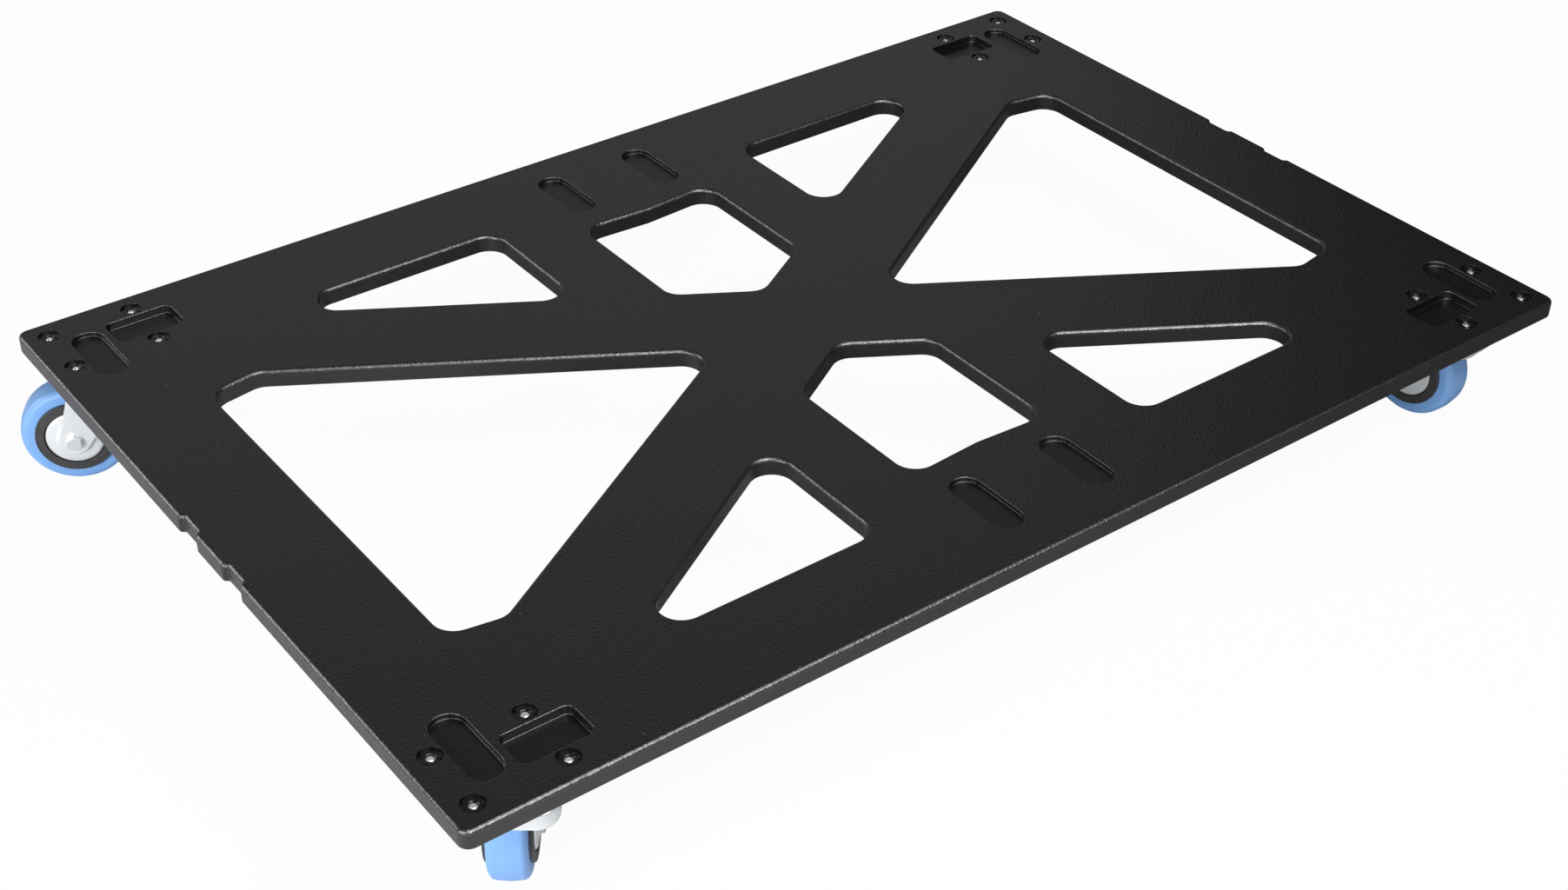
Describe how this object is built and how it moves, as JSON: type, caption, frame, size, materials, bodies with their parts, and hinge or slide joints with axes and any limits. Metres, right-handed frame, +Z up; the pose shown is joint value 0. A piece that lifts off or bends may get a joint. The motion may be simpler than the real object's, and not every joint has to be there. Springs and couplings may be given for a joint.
{
  "type": "transport board on four swivel casters",
  "caption": "Flat rectangular plywood transport board with diagonal braces, cut-outs and pockets, carried at its corners by swivel casters with soft wheels.",
  "frame": {"origin": "centre of the deck's top face", "axes": "+X along the deck's long side, +Y along its short side, +Z up, out of the top face"},
  "size_m": [1.2206, 0.8, 0.146],
  "materials": {
    "deck_paint": "black structure paint on plywood, fine orange-peel grain",
    "black_steel": "black oxide",
    "zinc": "bright zinc plating",
    "pale_zinc": "pale zinc plating, satin",
    "bearing_steel": "ground steel",
    "dust_ring": "matt moulded plastic",
    "core": "matt black moulded nylon",
    "tyre": "light blue elastic rubber, satin"
  },
  "bodies": {
    "board": {"deck": "deck_paint", "t_nuts": "black_steel", "plate_bolts": "zinc", "plate_washers": "zinc", "top_plate_rear_left": "zinc", "kingpin_rear_left": "pale_zinc", "lower_race_rear_left": "zinc", "top_plate_front_left": "zinc", "kingpin_front_left": "pale_zinc", "lower_race_front_left": "zinc", "top_plate_front_right": "zinc", "kingpin_front_right": "pale_zinc", "lower_race_front_right": "zinc", "top_plate_rear_right": "zinc", "kingpin_rear_right": "pale_zinc", "lower_race_rear_right": "zinc"},
    "swivel_rear_left": {"race_balls_rear_left": "bearing_steel", "dust_ring_rear_left": "dust_ring", "fork_rear_left": "pale_zinc", "axle_bolt_rear_left": "zinc", "axle_nut_rear_left": "zinc", "axle_sleeve_rear_left": "bearing_steel", "thread_guards_rear_left": "pale_zinc"},
    "wheel_rear_left": {"bearings_rear_left": "bearing_steel", "wheel_core_rear_left": "core", "tyre_rear_left": "tyre"},
    "swivel_front_left": {"race_balls_front_left": "bearing_steel", "dust_ring_front_left": "dust_ring", "fork_front_left": "pale_zinc", "axle_bolt_front_left": "zinc", "axle_nut_front_left": "zinc", "axle_sleeve_front_left": "bearing_steel", "thread_guards_front_left": "pale_zinc"},
    "wheel_front_left": {"bearings_front_left": "bearing_steel", "wheel_core_front_left": "core", "tyre_front_left": "tyre"},
    "swivel_front_right": {"race_balls_front_right": "bearing_steel", "dust_ring_front_right": "dust_ring", "fork_front_right": "pale_zinc", "axle_bolt_front_right": "zinc", "axle_nut_front_right": "zinc", "axle_sleeve_front_right": "bearing_steel", "thread_guards_front_right": "pale_zinc"},
    "wheel_front_right": {"bearings_front_right": "bearing_steel", "wheel_core_front_right": "core", "tyre_front_right": "tyre"},
    "swivel_rear_right": {"race_balls_rear_right": "bearing_steel", "dust_ring_rear_right": "dust_ring", "fork_rear_right": "pale_zinc", "axle_bolt_rear_right": "zinc", "axle_nut_rear_right": "zinc", "axle_sleeve_rear_right": "bearing_steel", "thread_guards_rear_right": "pale_zinc"},
    "wheel_rear_right": {"bearings_rear_right": "bearing_steel", "wheel_core_rear_right": "core", "tyre_rear_right": "tyre"}
  },
  "joints": [
    {"name": "swivel_rear_left", "type": "hinge", "parent": "board", "child": "swivel_rear_left", "pos_m": [-0.5375, 0.346, -0.04], "axis": [0, 0, 1], "continuous": true},
    {"name": "wheel_rear_left", "type": "hinge", "parent": "swivel_rear_left", "child": "wheel_rear_left", "pos_m": [-0.57193, 0.36431, -0.096], "axis": [-0.4695, -0.8829, 0], "continuous": true},
    {"name": "swivel_front_left", "type": "hinge", "parent": "board", "child": "swivel_front_left", "pos_m": [-0.5375, -0.346, -0.04], "axis": [0, 0, 1], "continuous": true},
    {"name": "wheel_front_left", "type": "hinge", "parent": "swivel_front_left", "child": "wheel_front_left", "pos_m": [-0.51403, -0.31485, -0.096], "axis": [-0.7986, 0.6018, 0], "continuous": true},
    {"name": "swivel_front_right", "type": "hinge", "parent": "board", "child": "swivel_front_right", "pos_m": [0.5375, -0.346, -0.04], "axis": [0, 0, 1], "continuous": true},
    {"name": "wheel_front_right", "type": "hinge", "parent": "swivel_front_right", "child": "wheel_front_right", "pos_m": [0.5341, -0.30715, -0.096], "axis": [-0.9962, -0.0872, 0], "continuous": true},
    {"name": "swivel_rear_right", "type": "hinge", "parent": "board", "child": "swivel_rear_right", "pos_m": [0.5375, 0.346, -0.04], "axis": [0, 0, 1], "continuous": true},
    {"name": "wheel_rear_right", "type": "hinge", "parent": "swivel_rear_right", "child": "wheel_rear_right", "pos_m": [0.50085, 0.35934, -0.096], "axis": [-0.342, -0.9397, 0], "continuous": true}
  ]
}
